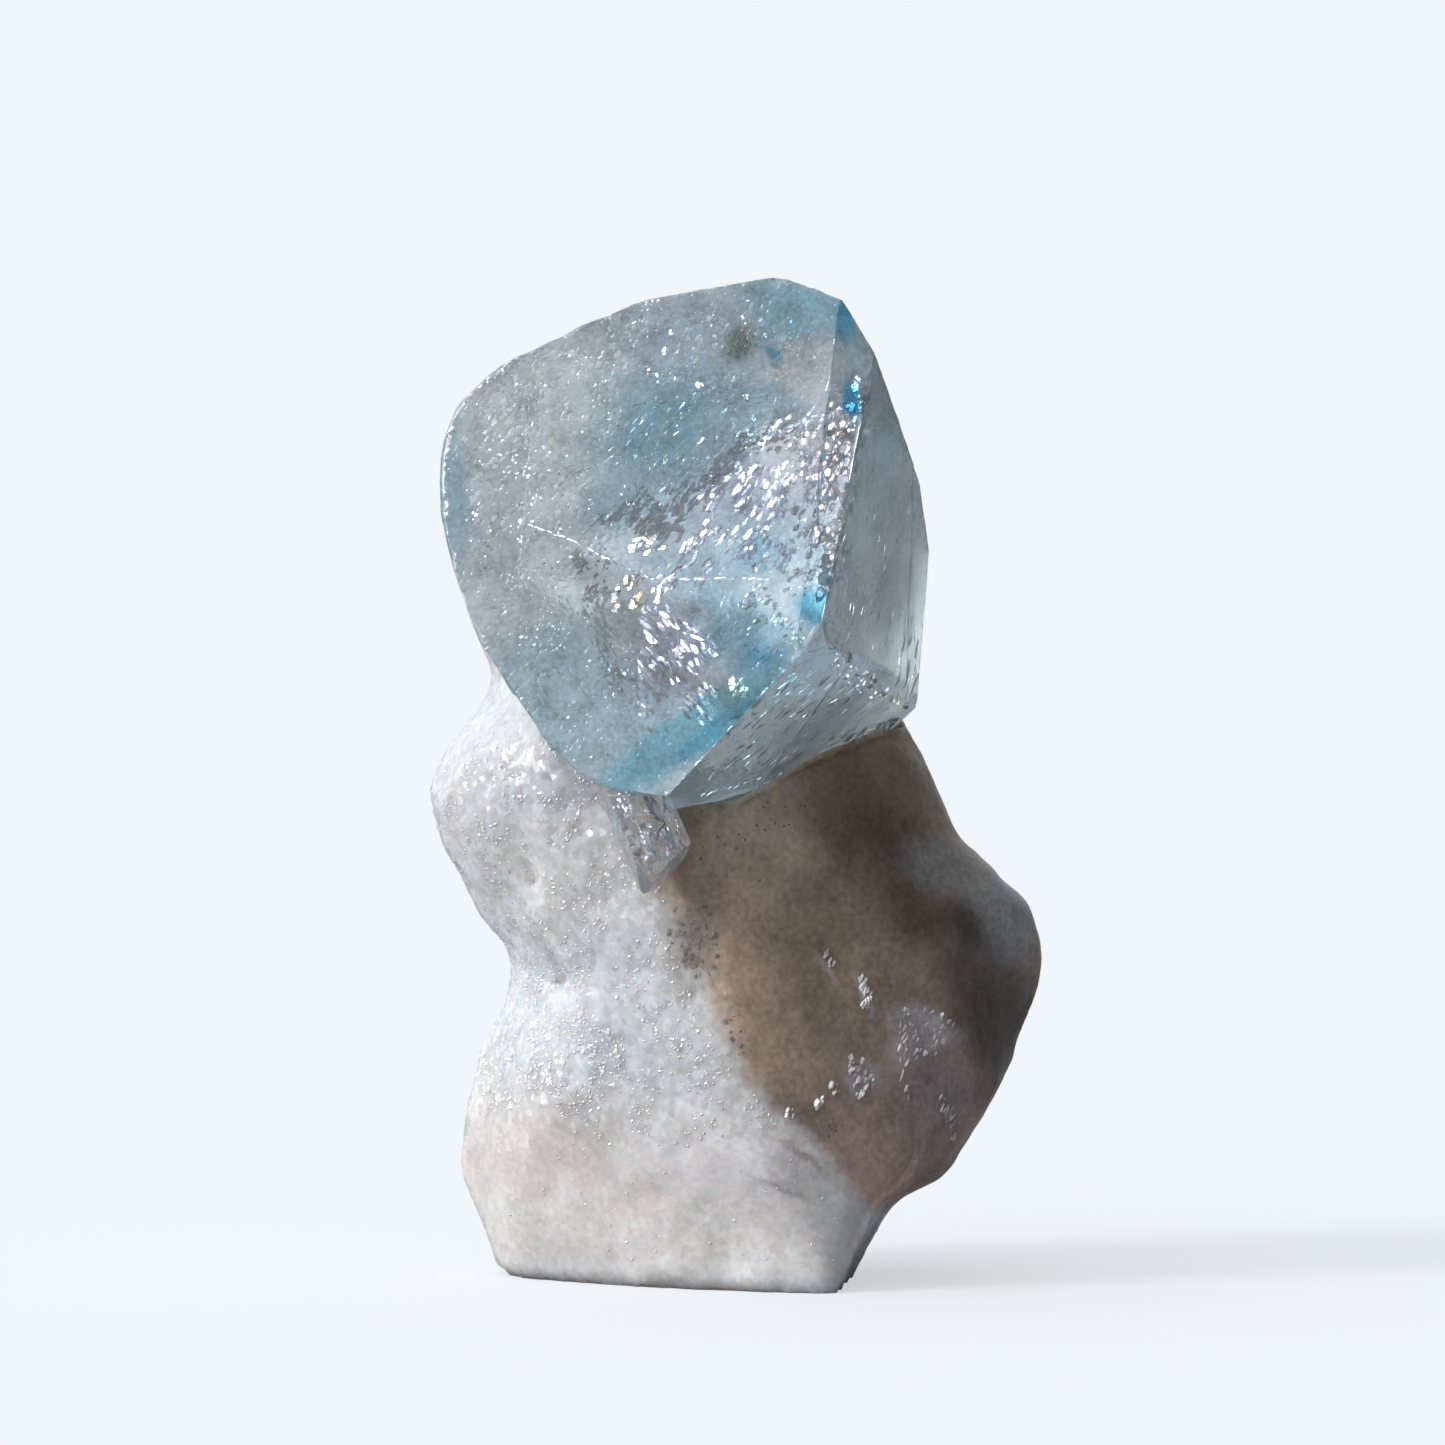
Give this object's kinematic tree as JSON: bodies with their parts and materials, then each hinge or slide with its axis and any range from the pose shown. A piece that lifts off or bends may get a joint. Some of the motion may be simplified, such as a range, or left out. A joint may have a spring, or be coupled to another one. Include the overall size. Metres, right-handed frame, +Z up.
{
  "type": "euclase crystal on matrix",
  "caption": "Clear blue euclase crystal with flat faces, seated on a broken chunk of white feldspar matrix with a small clear crystal below it; stands on its flat base.",
  "frame": {"origin": "middle of the specimen's footprint, at the height of its flat base", "axes": "+Z up, through the matrix to the top of the crystal; the crystal's large front face looks towards -Y"},
  "size_m": [0.0112, 0.0088, 0.0184],
  "materials": {
    "euclase": "clear pale blue crystal, glossy faces with fine etching",
    "small_crystal": "clear colourless crystal, glossy",
    "matrix": "broken feldspar and quartz, sugary white to brown-grey"
  },
  "bodies": {
    "root": {"euclase_crystal": "euclase", "small_crystal": "small_crystal", "matrix": "matrix"}
  },
  "joints": []
}
